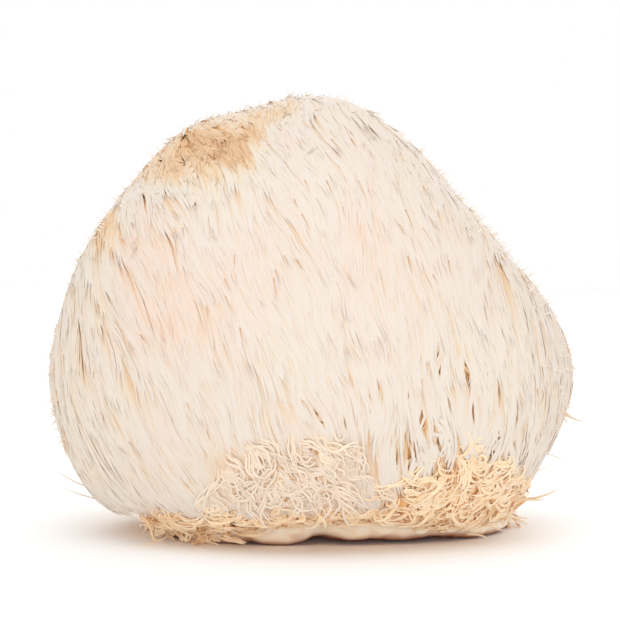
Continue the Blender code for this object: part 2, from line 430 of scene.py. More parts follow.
def spine_mesh(name, paths, frames, radii, rolls, tints, tip_and_unshaded, material, section):
    """One mesh of pointed tubes.

    paths is (spine, point, 3) in mm. radii in mm and tip_and_unshaded, from 0 for the root's colour
    and the deepest painted shade to 1 for a lit tip, are (spine, point).
    """
    count, rings, sides = paths.shape[0], paths.shape[1] - 1, len(section)
    across, upward = frames
    corners = []
    for a, b in section:
        to_side = a * np.cos(rolls) - b * np.sin(rolls)
        to_top = a * np.sin(rolls) + b * np.cos(rolls)
        offset = across[:, :-1] * to_side[:, None, None] + upward[:, :-1] * to_top[:, None, None]
        corners.append(paths[:, :-1] + offset * radii[:, :-1, None])
    rows = np.stack(corners, 2).reshape(count, rings * sides, 3)
    points = np.concatenate([rows, paths[:, -1:]], 1)
    points[:, :, 2] = np.maximum(points[:, :, 2], TABLE_GAP)
    per, last = rings * sides + 1, (rings - 1) * sides
    after = [(k + 1) % sides for k in range(sides)]
    quads = [(ring + k, ring + after[k], ring + after[k] + sides, ring + k + sides)
             for ring in range(0, last, sides) for k in range(sides)]
    tips = [(last + k, last + after[k], per - 1) for k in range(sides)]
    start = [tuple(range(sides))[::-1]]
    base = np.arange(count)[:, None, None] * per
    loops, sizes = [], []
    for shape in (quads, tips, start):
        corner = np.array(shape)[None] + base
        loops.append(corner.reshape(-1))
        sizes.append(np.full(corner.shape[0] * corner.shape[1], corner.shape[2]))
    loops, sizes = np.concatenate(loops), np.concatenate(sizes)
    data = bpy.data.meshes.new(name)
    data.vertices.add(count * per)
    data.vertices.foreach_set("co", (points.reshape(-1) * MM).astype(np.float32))
    data.loops.add(len(loops))
    data.loops.foreach_set("vertex_index", loops.astype(np.int32))
    data.polygons.add(len(sizes))
    data.polygons.foreach_set("loop_start", (np.cumsum(sizes) - sizes).astype(np.int32))
    data.update(calc_edges=True)
    data.polygons.foreach_set("use_smooth", np.ones(len(sizes), bool))
    # The long edges stay sharp, or smooth shading would darken so few sides. Only the ridge of a
    # flattened spine is smooth, so that it is shaded as a low arch.
    ends = np.empty(len(data.edges) * 2, np.int32)
    data.edges.foreach_get("vertices", ends)
    ends = np.sort(ends.reshape(-1, 2) % per, axis=1)
    sharp = (ends[:, 1] - ends[:, 0] == sides) | (ends[:, 1] == per - 1)
    u = tints[:, None] + np.tile(np.arange(sides) - (sides - 1) / 2, rings) * TINT_STEP
    v = np.repeat(tip_and_unshaded[:, :-1], sides, axis=1)
    if section is not ROUND:
        sharp &= ends[:, 0] % sides != 1
        # Painted shade: the sides of a flattened spine are coloured darker and warmer than its
        # ridge, as the shade between neighbours.
        v -= SIDE_SHADE * np.tile([1.0, 0.0, 1.0], rings)
    data.attributes.new("sharp_edge", "BOOLEAN", "EDGE").data.foreach_set("value", sharp)
    # The map: the tint across it and the root colour with painted shade up, and last the two at the
    # spine's tip.
    u = np.concatenate([u, tints[:, None]], 1)
    v = np.clip(np.concatenate([v, tip_and_unshaded[:, -1:]], 1), 0, 1)
    map_points = np.stack([u.reshape(-1), v.reshape(-1)], 1) * (1 - 2 * MAP_MARGIN) + MAP_MARGIN
    for layer_name in ("tint_and_share", "OFBake"):
        layer = data.uv_layers.new(name=layer_name)
        layer.uv.foreach_set("vector", map_points[loops].astype(np.float32).reshape(-1))
    data.materials.append(material)
    item = add(data, name)
    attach(item, "root")
    triangles = int((sizes - 2).sum())
    print(f"{name}: {count} spines, {triangles} triangles")
    return triangles


# %% [markdown]
# ## The spines' finish
# Fresh lion's mane is moist, springy fungus flesh: a matt cream. A spine is palest at its tip and a
# warm orange tan down at its root. It is also painted darker and warmer the deeper it lies in the
# coat, as painted shade, so each parting of the coat shows a thin warm line. Older and rubbed
# places turn ochre, tan or peach. The tint is a palette from the brown of dried hairs over cream
# and white to peach, then the pale yellow of the curls and the white of the front's wavy tips. A
# second ramp darkens it towards the root's colour and into the painted shade.
# A colour for each spine could do that too, but one map and two ramps are easier to change.

# %% The spines' material
TINTS = (
    (0.00, "6E4E33"), (0.07, "A37A50"), (0.14, "CDA277"), (0.23, "DFC09D"), (0.32, "E6CDAE"),
    (0.40, "E5D8C6"), (0.48, "E3DCD2"), (0.58, "E3DAD2"), (0.68, "E6D7CC"), (0.77, "E8CBB8"),
    (0.84, "EDBE94"), (0.90, "FBEDD2"), (0.95, "FDF4E4"), (0.97, "F0E8DE"), (1.00, "F0EAE4"),
)
# Root colour and painted shade: from a spine's warm root and its darkest painted shade, at 0, to a
# lit tip, at 1.
ROOT_AND_SHADE = (
    (0.0, "DD9C58"), (0.25, "EBB67C"), (0.5, "F6D0A4"), (0.7, "FCE6CC"), (0.85, "FEF4E8"),
    (1.0, "FFFFFF"),
)

spines_finish, tree, shader = new_material("fresh_spine_flesh", Roughness=0.62, IOR=1.4)
facts = node(tree, "SeparateXYZ", _0=node(tree, "UVMap", {"uv_map": "tint_and_share"}))
tint = node(tree, "ValToRGB", stops=TINTS, Fac=facts.outputs[0])
root = node(tree, "ValToRGB", stops=ROOT_AND_SHADE, Fac=facts.outputs[1])
multiply = {"data_type": "RGBA", "blend_type": "MULTIPLY"}
colour = node(tree, "Mix", multiply, _0=1.0, _6=tint, _7=root)
tree.links.new(colour.outputs[2], shader.inputs["Base Color"])
print("tints:", len(TINTS), "steps from root to fresh:", len(ROOT_AND_SHADE))

# %% [markdown]
# ## The solid flesh
# Under the spines is a firm, pale body, and below the skirt its bare skin runs down to a smooth,
# lumpy foot with a flat cut and a few hollows under its edge. It is one closed mesh of rings from
# the crown to the middle of the cut: on the coat's form but some millimetres deeper down to the
# skirt's brim, then in under the brim to the foot's outline.

# %% The rings of the flesh
COLUMNS = 240
COAT_RINGS = 72
BLEND_RINGS = 8
FLESH_DEPTH = 1.5         # mm under the coat's outer surface
SKIRT_DEPTH = 1.8         # mm, the same where the curls stand
EDGE_BLEND = 5            # degrees, over which the one depth turns into the other
# The height of the skirt's brim in mm, at angles in degrees.
BRIM = (
    (0, 5.5), (150, 6.0), (180, 8.0), (212, 8.0), (226, 5.5), (238, 6.0), (252, 8.0), (292, 8.0),
    (304, 6.0), (330, 5.5),
)
FOOT_REACH = (60, 52, 44, 41, 42, 44, 45, 48, 43, 39, 42, 54)   # mm, every 30 degrees
FOOT_ROUNDING = 20        # degrees
# Each hollow under the foot's edge: its angle and half its width in degrees, its height in mm.
HOLLOWS = (
    (243, 5, 1.4), (272, 7, 3.2), (290, 16, 2.2), (318, 11, 3.2), (15, 10, 3.0), (100, 9, 3.4),
    (165, 8, 2.6),
)
FLAT_SHARE = 0.45         # share of the foot's reach that stands flat on the table
HOLLOW_CURVE = 1.5        # how late towards the edge the hollows rise
HOLLOW_FADES = ((1.5, 5, 9), (1, 0.5, 0))   # heights in mm, and how much of a hollow shows there
# The foot's wall from the brim down: the share of its reach and the height in mm, where the brim
# is 8 mm high. It is pressed flatter under a lower brim. Then the shares across the cut.
WALL = ((1.015, 7.0), (1.03, 5.0), (1.02, 3.2), (1.0, 1.5), (0.98, 0.5), (0.95, 0.0))
BRIM_LEAST, BRIM_MORE = 1.5, 6.5   # mm, the brim over no wall at all, and what a full wall adds
UNDER = (0.88, 0.8, 0.7, 0.58, 0.45, 0.3, 0.15)


def foot_outline(turns):
    """The foot's reach in mm at angles in degrees."""
    return around(turns, np.arange(0, 360, 30), FOOT_REACH, FOOT_ROUNDING)


def hollow_heights(turns, share):
    """How far the hollows lift the foot's underside, at a share of its reach."""
    inward = np.clip((share - FLAT_SHARE) / (1 - FLAT_SHARE), 0, 1)
    height = np.zeros(len(turns))
    for direction, half_width, most in HOLLOWS:
        height += most * bump((turns - direction + 180) % 360 - 180, 0, half_width)
    return height * inward**HOLLOW_CURVE


def brim_polar(turns, heights):
    """How many degrees from the crown the coat's surface comes down to so many mm."""
    polars = np.arange(105, 150, 0.25)
    ways = ways_at(turns[:, None], polars[None])
    found = coat_surface(ways.reshape(-1, 3))[:, 2].reshape(len(turns), -1)
    return polars[np.argmax(found < heights[:, None], axis=1)]


def flesh_rings():
    """Rings of points in mm from the crown down to the middle of the cut."""
    turns = np.arange(COLUMNS) * 360 / COLUMNS
    c, s = np.cos(np.radians(turns)), np.sin(np.radians(turns))
    brim_heights = around(turns, *zip(*BRIM), EDGE_ROUNDING)
    brim = around(turns, turns, brim_polar(turns, brim_heights), EDGE_ROUNDING)
    edge, outline = coat_edge(turns), foot_outline(turns)

    def foot_ring(share, heights):
        return np.stack([c * outline * share, s * outline * share, heights], 1)

    rings = []
    for share in np.linspace(0.012, 1, COAT_RINGS):
        surface, normals = coat_at(ways_at(turns, brim * share))
        past = np.clip((brim * share - edge) / EDGE_BLEND + 0.5, 0, 1)
        depth = FLESH_DEPTH + (SKIRT_DEPTH - FLESH_DEPTH) * past
        rings.append(surface - normals * depth[:, None])
    squash = (brim_heights - BRIM_LEAST) / BRIM_MORE
    wall = []
    for share, height in WALL:
        lift = hollow_heights(turns, share) * np.interp(height, *HOLLOW_FADES)
        wall.append(foot_ring(share, (height + lift) * squash))
    # A cubic curve joins the coat's lower end to the wall, and leaves and meets them smoothly.
    top, below = rings[-1], wall[0]
    before, after = rings[-1] - rings[-3], wall[2] - wall[0]
    for share in np.linspace(0, 1, BLEND_RINGS + 2)[1:-1]:
        h00, h10 = 2 * share**3 - 3 * share**2 + 1, share**3 - 2 * share**2 + share
        h01, h11 = -2 * share**3 + 3 * share**2, share**3 - share**2
        rings.append(h00 * top + h10 * before * 2 + h01 * below + h11 * after)
    rings += wall
    rings += [foot_ring(share, hollow_heights(turns, share)) for share in UNDER]
    return np.array(rings)


# %% The flesh mesh, with soft dents and swellings on its bare skin
# Each wave of the dents: its size in mm, its seed and its height in mm.
DENTS = ((9, 21, 0.45), (4.5, 22, 0.22))
UNDER_COAT_SHARE = 0.25   # how much of the dents is left under the coat
SKIN_TOP, SKIN_FADE = 24, 10   # mm, the height of the bare skin, and over which the dents fade
CUT_FADE = 3              # mm above the table, up to which the dents fade in

rings = flesh_rings()
flat = rings.reshape(-1, 3)
rough = sum(height * waves(flat, size, seed) for size, seed, height in DENTS)
skin = np.clip((SKIN_TOP - flat[:, 2]) / SKIN_FADE, 0, 1) * np.clip(flat[:, 2] / CUT_FADE, 0, 1)
flat = flat + toward(flat) * (rough * (UNDER_COAT_SHARE + skin))[:, None]
flat[:, 2] = np.maximum(flat[:, 2], 0)
crown = coat_surface(np.array([[0.0, 0, 1]])) - (0, 0, FLESH_DEPTH)
points = np.concatenate([flat, crown, [[0, 0, 0]]]) * MM
pairs = [(k, (k + 1) % COLUMNS) for k in range(COLUMNS)]
last = (len(rings) - 1) * COLUMNS
top, bottom = last + COLUMNS, last + COLUMNS + 1
faces = [(low + a, low + COLUMNS + a, low + COLUMNS + b, low + b)
         for low in range(0, last, COLUMNS) for a, b in pairs]
faces += [(a, b, top) for a, b in pairs]
faces += [(last + b, last + a, bottom) for a, b in pairs]
flesh_data = bpy.data.meshes.new("flesh")
flesh_data.from_pydata(points.tolist(), [], faces)
flesh_data.polygons.foreach_set("use_smooth", np.ones(len(faces), bool))
flesh = add(flesh_data, "flesh")
print("flesh:", len(faces), "faces")

# %% [markdown]
# ## The flesh's finish
# Between the spines the flesh is painted a deep warm tan, as the warm shade down in the coat's
# gaps. On the foot it is bare skin, smooth and waxy, a pale pinkish cream with faint mottling. It
# is a dark brown on the cut and in the hollows under the foot: partly where it was bruised, partly
# painted shade under the foot.

# %% The flesh's material
MOTTLE = 260.0            # per m, for blotches of about 4 mm
FIBRE = 900.0             # per m, for fibres of about 1 mm

skin_finish, tree, shader = new_material(
    "bare_fungus_skin", Roughness=0.55, IOR=1.4, Subsurface_Weight=0.4,
    Subsurface_Radius=(1.0, 0.5, 0.3), Subsurface_Scale=0.002)
where = node(tree, "TexCoord").outputs["Object"]
height = node(tree, "SeparateXYZ", _0=where).outputs[2]
mottle = node(tree, "TexNoise", Vector=where, Scale=MOTTLE, Detail=4.0, Roughness=0.6)
fibre = node(tree, "TexNoise", Vector=where, Scale=FIBRE, Detail=3.0, Roughness=0.55)
pale_stops = ((0.3, "F6E0C4"), (0.5, "FCEEDA"), (0.7, "FEF5E8"))
pale = node(tree, "ValToRGB", stops=pale_stops, Fac=mottle)
# Painted shade: the flesh under the coat is coloured a deep warm tan, as the warm shade seen down
# the gaps between spines.
gap_shade_tan = node(tree, "ValToRGB", stops=((0.3, "E6A96A"), (0.6, "EFC48E")), Fac=mottle)
# The bare skin turns into the flesh under the coat between 7 and 11 mm above the table.
level = node(tree, "MapRange", _0=height, _1=0.007, _2=0.011, _3=0.0, _4=1.0)
body = node(tree, "Mix", {"data_type": "RGBA"}, _0=level, _6=pale, _7=gap_shade_tan)
# Dark brown where the skin faces down and is less than 4.5 mm above the table: partly the bruise of
# the cut, partly painted shade under the foot and in its hollows.
downward = node(tree, "SeparateXYZ", _0=node(tree, "NewGeometry").outputs["Normal"]).outputs[2]
under = node(tree, "MapRange", _0=downward, _1=-0.45, _2=-0.9, _3=0.0, _4=1.0)
low = node(tree, "MapRange", _0=height, _1=0.002, _2=0.0045, _3=1.0, _4=0.0)
bruise_and_shade = node(tree, "Math", {"operation": "MULTIPLY"}, _0=under, _1=low)
brown = node(
    tree, "Mix", {"data_type": "RGBA"}, _0=bruise_and_shade, _6=body.outputs[2], _7=srgb("A0643C"))
tree.links.new(brown.outputs[2], shader.inputs["Base Color"])
raised = node(tree, "Bump", _0=0.35, _1=0.0004, Height=fibre)
tree.links.new(raised.outputs[0], shader.inputs["Normal"])
flesh_data.materials.append(skin_finish)
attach(flesh, "root")
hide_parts("fruit_body")
print("nodes in the skin:", len(tree.nodes))

# %% [markdown]
# ## The coat
# Wet fur and lion's mane share one trick: the strands don't lie evenly but in locks, which start
# broad and run together to a point. So locks are placed first, each with a path that follows the
# combing. A few spines then run side by side along each lock's path, and close up on it towards
# the tip. They rise slowly from the flesh to the coat's outer surface, so each lock lies on the
# next one like a shingle.

# %% Roots spread evenly over the coat
LOCKS = 3450
IN_LOCK = 6               # spines side by side in one lock
SINGLES = 2400            # spines that lie alone
ALL_ROUND = 1.28          # directions all round, for each one above the coat's edge
THINNED = 0.3             # share of the locks left out where they are thick
STEP = 2.0                # mm between the points of a lock's path
STEPS = 20


def even_directions(count, lowest, seed, jitter):
    """Directions spread evenly over the body, down to the coat's edge plus lowest degrees."""
    k = np.arange(count) + 0.5
    z = 1 - 2 * k / count
    turn = k * math.pi * (3 - math.sqrt(5))
    flat = np.sqrt(1 - z**2)
    ways = np.stack([flat * np.cos(turn), flat * np.sin(turn), z], 1)
    ways = unit(ways + dice(seed).normal(size=ways.shape) * jitter / math.sqrt(count))
    return ways[polar_of(ways) < coat_edge(turn_of(ways)) + lowest]


def patch(ways, turn, turn_reach, polar, polar_reach, power=2):
    """1 in the middle of a patch, in degrees round and from the crown, and 0 far from it."""
    beside = ((turn_of(ways) - turn) / turn_reach) ** power
    return np.exp(-beside - ((polar_of(ways) - polar) / polar_reach) ** power)


def right_front(ways):
    """How near a place is to the low right of the front, where the locks are thick and part."""
    return patch(ways, 308, 43, 106, 19)


lock_ways = even_directions(int(LOCKS * ALL_ROUND), 0, 31, 0.8)
lock_ways = lock_ways[dice(30).random(len(lock_ways)) >= THINNED * right_front(lock_ways)]
single_ways = even_directions(int(SINGLES * ALL_ROUND), -3, 32, 1.2)
print("locks:", len(lock_ways), "singles:", len(single_ways))


# %% The locks' paths over the coat's outer surface
RUBBED_ASIDE = 0.3        # radians, about how far a rubbed lock lies from the combing
WHORL_ASIDE = 1.3         # radians, the same round the whorl
WHORL_REACH = 12          # mm
WHORL_LOCKS = 130         # more locks there, since none comes down over it

behind = even_directions(4000, -40, 37, 0.0)
surface, normals = coat_at(behind)
whorl = surface[(-(normals * pull_at(surface)).sum(1)).argmax()]
print("the spines part round, mm:", whorl.round(1))


def lock_paths(ways):
    """For each lock, points, normals and combed directions along its path."""
    found = []
    own = dice(34).normal(size=len(ways))
    for _ in range(STEPS):
        spot, normal = coat_at(ways)
        aside = RUBBED_ASIDE * rubbed_at(spot) + WHORL_ASIDE * near(spot, whorl, WHORL_REACH)
        way = combed(spot, normal)
        way = turned(way, np.cross(normal, way), own * aside)
        found.append((spot, normal, way))
        ways = toward(spot + way * STEP)
    return [np.stack(kind, 1) for kind in zip(*found)]


whorl_dice = dice(38)
about_whorl = whorl_dice.normal(size=(WHORL_LOCKS, 3)) * WHORL_REACH
about_whorl = whorl + about_whorl * whorl_dice.uniform(0.1, 0.8, (WHORL_LOCKS, 1))
lock_ways = np.concatenate([lock_ways, toward(about_whorl)])
origins = np.concatenate([lock_ways, single_ways])
is_single = np.arange(len(origins)) >= len(lock_ways)
paths, path_normals, path_ways = lock_paths(origins)
lock_roots = paths[:, 0]
print("lock paths:", paths.shape)

# %% Lengths, lift and closing up, by place
SPINE_LENGTH = 26.0       # mm
WORN_LENGTH = 18.0        # mm, where the coat is rubbed
CROWN_SHORTER = 7.0       # mm less on the very top
CROWN_REACH = 45          # degrees, how far down the crown's own rules reach
CROWN_FLATTER = 0.35      # share by which the crown's spines lie less deep
MM_PER_DEGREE = 1.35      # down the body's side
PITCH = 0.74              # mm between neighbours in a lock, at their roots
# How a lock varies by chance: what it does anywhere, and what more where the locks are thick.
LIFTS, BOWS, STRAYS_ASIDE = (0.03, 0.3), (0.12, 1.0), (0.15, 1.8)   # mm
# PARTING_SHADE gives the shares of the locks whose outer spines are painted with shade beside the
# parting.
POINTED, PARTING_SHADE = (0.12, 0.7), (0.02, 0.5)   # shares of the locks
RAISED = 0.012            # share of the locks whose tips stand off the coat

lock_dice = dice(33)
many = len(origins)
lock_polar, lock_turn = polar_of(origins), turn_of(origins)
worn, thick_front = rubbed_at(lock_roots), right_front(origins)
lock_whorl = near(lock_roots, whorl, 2 * WHORL_REACH)


def by_place(always, more):
    """A value for each lock, the larger the thicker the locks are there."""
    return always + more * thick_front


lock_length = SPINE_LENGTH - CROWN_SHORTER * np.clip(1 - lock_polar / CROWN_REACH, 0, 1)
lock_length += (WORN_LENGTH - lock_length) * worn**0.8
lock_length *= lock_dice.uniform(0.85, 1.15, many)
# A lock ends a little above or below the coat's edge, and is at least 4 mm long.
room = (coat_edge(lock_turn) + lock_dice.uniform(-2, 3.5, many) - lock_polar) * MM_PER_DEGREE + 4
lock_length = np.clip(np.minimum(lock_length, room), 4, None)
lock_lift = lock_dice.normal(size=many) * by_place(*LIFTS)
pointed = lock_dice.random(many) < by_place(*POINTED)
closed, open_end = lock_dice.uniform(0.6, 0.92, many), lock_dice.uniform(0.05, 0.4, many)
lock_close = np.where(pointed, closed, open_end)
lock_pitch = PITCH * lock_dice.uniform(0.85, 1.15, many) * by_place(1, 0.15)
lock_tint = lock_dice.normal(size=many)
lock_bow = lock_dice.normal(size=many) * by_place(*BOWS)
lock_stray = lock_dice.normal(size=many) * by_place(*STRAYS_ASIDE)
lock_parting_shade = (lock_dice.random(many) < by_place(*PARTING_SHADE)) * lock_dice.uniform(0.5, 1.0, many)
lock_raised = (lock_dice.random(many) < RAISED) * lock_dice.uniform(0.3, 1.0, many)
print("lock lengths, mm:", lock_length.min().round(1), lock_length.max().round(1))

# %% [markdown]
# ## Stains and blush
# The rubbed shoulder and crown have dried tan, the left side blushes peach, and low on the sides
# the flesh is paler and greyer. These marks have soft, uneven edges. They could be painted as a
# picture, but the spines are separate, so each takes one tint from where its tip lies. A mark is
# a middle, a reach and a tint, and slow waves bend its edge.

# %% The tint by place
# Each stain: its middle in mm, its reach in mm, the tint it turns spines to, and how strongly.
STAINS = (
    ((-36, -27, 114), 16, 0.19, 0.9),
    ((-21, -35, 114), 9, 0.11, 0.85),
    ((-26, -39, 107), 8, 0.23, 0.7),
    ((-13, -20, 123), 9, 0.26, 0.75),
    ((-50, -14, 108), 11, 0.28, 0.75),
    ((-28, 20, 117), 16, 0.27, 0.7),
    ((-63, -23, 90), 10, 0.19, 0.95),
    ((-60, -31, 83), 8, 0.26, 0.7),
    ((-48, -46, 80), 13, 0.76, 0.65),
    ((-43, -55, 64), 14, 0.73, 0.5),
    ((-27, -62, 70), 20, 0.71, 0.6),
    ((-36, -60, 58), 12, 0.76, 0.5),
    ((-62, -38, 64), 7, 0.27, 0.6),
    ((15, -55, 86), 6, 0.84, 0.85),
    ((12, -58, 76), 24, 0.66, 0.6),
    ((58, -38, 36), 24, 0.48, 0.5),
    ((40, -50, 34), 18, 0.47, 0.5),
    ((-68, -26, 28), 24, 0.45, 0.8),
    ((40, 0, 112), 24, 0.48, 0.6),
    ((30, 40, 95), 24, 0.68, 0.6),
    ((-30, 58, 60), 20, 0.71, 0.5),
    ((40, 55, 50), 22, 0.65, 0.5),
)
PLAIN_TINT = 0.55
# Each wave of the plain tint: how far it shifts the tint, its size in mm and its seed.
TINT_WAVES = ((0.04, 30, 41), (0.02, 10, 42))
EDGE_SHIFT, EDGE_SIZE, EDGE_SEEDS = 2.5, 12, (43, 44, 45)   # mm, mm, one seed for each axis


def tint_at(points):
    """The palette's share at each place, before the spine's own chance."""
    found = PLAIN_TINT
    for most, size, seed in TINT_WAVES:
        found = found + most * waves(points, size, seed)
    shift = np.stack([waves(points, EDGE_SIZE, seed) for seed in EDGE_SEEDS], 1) * EDGE_SHIFT
    for middle, reach, target, strength in STAINS:
        found = found + (target - found) * near(points + shift, middle, reach, 1.5) * strength
    return found


print("stains:", len(STAINS))

# %% [markdown]
# ## Slits in the coat
# Here and there the coat stands open and shows the flesh, painted a warm tan as the shade in the
# gap. Spines could be left out there, but a spine is long, so that would leave a furrow. Instead,
# every spine bends round the slit: points near its middle line are pushed aside, most at the
# middle and not at all at its ends.

# %% Places of the slits
# Each slit: its middle in mm, half its width and half its length in mm.
SLITS = (
    ((-19, -49, 96), 0.3, 3.5), ((-29, -50, 92), 0.25, 3.0), ((-24, -51, 93), 0.2, 3.0),
    ((-31, -46, 98), 0.2, 3.0), ((-1, -42, 110), 0.25, 3.5), ((3, -47, 104), 0.3, 3.5),
    ((16, -43, 105), 0.3, 3.5), ((14, -54, 87), 0.3, 3.5), ((-37, -51, 84), 0.2, 3.5),
    ((-54, -49, 27), 0.45, 4.5), ((-45, -53, 24), 0.5, 5.5), ((-35, -55, 18), 0.5, 4.5),
    ((-22, -64, 28), 0.8, 4.5), ((-10, -63, 19), 0.8, 3.5), ((2, -70, 40), 0.9, 6.0),
    ((-1, -69, 33), 1.3, 4.0), ((53, -51, 31), 1.0, 7.0), ((36, -61, 55), 1.1, 5.0),
    ((44, -57, 51), 0.8, 5.0), ((33, -62, 53), 0.6, 4.5), ((31, -64, 39), 1.1, 6.0),
    ((36, -62, 33), 0.9, 5.0), ((27, -65, 45), 0.8, 4.0), ((19, -68, 47), 0.7, 3.5),
    ((68, -36, 31), 0.7, 5.5), ((39, -61, 43), 0.7, 4.0), ((46, -57, 40), 0.7, 5.0),
    ((59, -48, 38), 0.7, 5.0), ((64, -44, 49), 0.5, 5.0), ((40, -56, 64), 0.4, 4.5),
    ((51, -49, 66), 0.35, 4.5), ((27, -61, 64), 0.4, 4.5), ((-62, -40, 63), 0.3, 3.0),
    ((-66, -41, 43), 0.4, 4.5), ((-55, -50, 49), 0.35, 4.5), ((10, -69, 52), 0.4, 4.0),
    ((60, -46, 24), 0.8, 4.5), ((24, -65, 28), 0.7, 4.5), ((56, -35, 76), 0.2, 3.5),
    ((59, -26, 78), 0.2, 3.5), ((54, -46, 64), 0.6, 5.5), ((45, -53, 64), 0.5, 4.5),
    ((47, -53, 61), 0.4, 4.0), ((63, -38, 61), 0.5, 5.0), ((59, -47, 49), 0.6, 5.5),
    ((50, -54, 50), 0.7, 5.5), ((67, -38, 43), 0.5, 5.0), ((53, -52, 45), 0.6, 5.0),
    ((44, -57, 52), 0.7, 5.0), ((36, -59, 60), 0.4, 4.0), ((-4, -70, 47), 0.45, 4.5),
    ((16, -69, 45), 0.6, 4.5), ((9, -70, 38), 0.7, 4.5), ((-45, -56, 36), 0.3, 4.0),
    ((-52, -50, 32), 0.3, 4.0), ((-46, -55, 61), 0.3, 4.0), ((-38, -60, 62), 0.25, 3.5),
    ((-32, -63, 60), 0.3, 4.0),
)
MORE_SLITS = 90           # by chance, over the whole coat
SLITS_BELOW = 48          # degrees from the crown, above which none opens by chance


def all_slits():
    """Middles, ways down, ways aside, half widths and half lengths of the slits."""
    draw = dice(35)
    seen, half_width, half_length = zip(*SLITS)
    chance = even_directions(MORE_SLITS, -12, 36, 3.0)
    chance = chance[polar_of(chance) > SLITS_BELOW]
    half_width = np.array(half_width + tuple(draw.uniform(0.15, 0.3, len(chance))))
    half_length = np.array(half_length + tuple(draw.uniform(2.5, 4.0, len(chance))))
    middle, normal = coat_at(np.concatenate([toward(np.array(seen, float)), chance]))
    down = combed(middle, normal)
    return list(zip(middle, down, np.cross(normal, down), half_width, half_length))


print("slits:", len(all_slits()))

# %% Bending the spines round the slits
SLIT_SPREAD = 2.5         # how far the push reaches, as a share of the slit's half width
SLIT_SIDE, SLIT_DISTANCE = 6, 150   # half widths, and mm squared, beyond which nothing is pushed


def pushed(points):
    """Bends paths of points in mm round every slit."""
    for middle, down, aside, half_width, half_length in all_slits():
        off = points - middle
        beside, along = off @ aside, off @ down
        close = (np.abs(beside) < SLIT_SIDE * half_width) & (np.abs(along) < half_length)
        close &= (off**2).sum(2) < SLIT_DISTANCE
        beside, along = beside[close], along[close]
        push = half_width * (1 - (along / half_length) ** 2)
        push *= np.sign(beside) * np.exp(-np.abs(beside) / (SLIT_SPREAD * half_width))
        points[close] += push[:, None] * aside
    return points


# %% Growing the spines
LOCK_STAGGER = 2.6        # mm that spines of one lock start before or after its middle
LOOSE, LOOSE_SINGLES = 0.015, 0.1   # shares of the spines that stray out of the coat
WAVE = 7.0                # mm from crest to crest of a wavy tip
DEEP_EVENLY, DEEP_ROOT = 0.54, 0.36   # mm that a spine starts deeper than its tip
OUTERMOST = 0.4           # mm from the coat's surface down to the spines that lie on top
TIP_SINKS = 0.1           # mm that a tip presses into the coat
STANDING = 0.008          # share of the spines whose tips stand off the coat
HALF_WIDTH = (0.48, 0.62)   # mm
# Places along a spine, and the shares of its width there.
TAPER = ((0, 0.15, 0.6, 0.85, 1), (1, 1, 1, 0.75, 0.1))
LIT_DEPTH = 0.5         # mm under the coat's surface, down to which spines are painted without shade
SHADE_DEPTH = 1.2         # mm below that, over which the painted shade deepens to the root's colour
SHADE_LIMIT = 0.3          # how dark the painted shade may get, where the coat lies close
WAVES_SHADE = 0.45        # painted shade on the coat under the wavy tips in front
COAT_TINTS_END = 0.86     # the last tint of the coat, before those of the curls


def under_waves(ways):
    """How much a place of the coat lies under the wavy tips in front."""
    return patch(ways, 262, 17, 117, 7, 4)


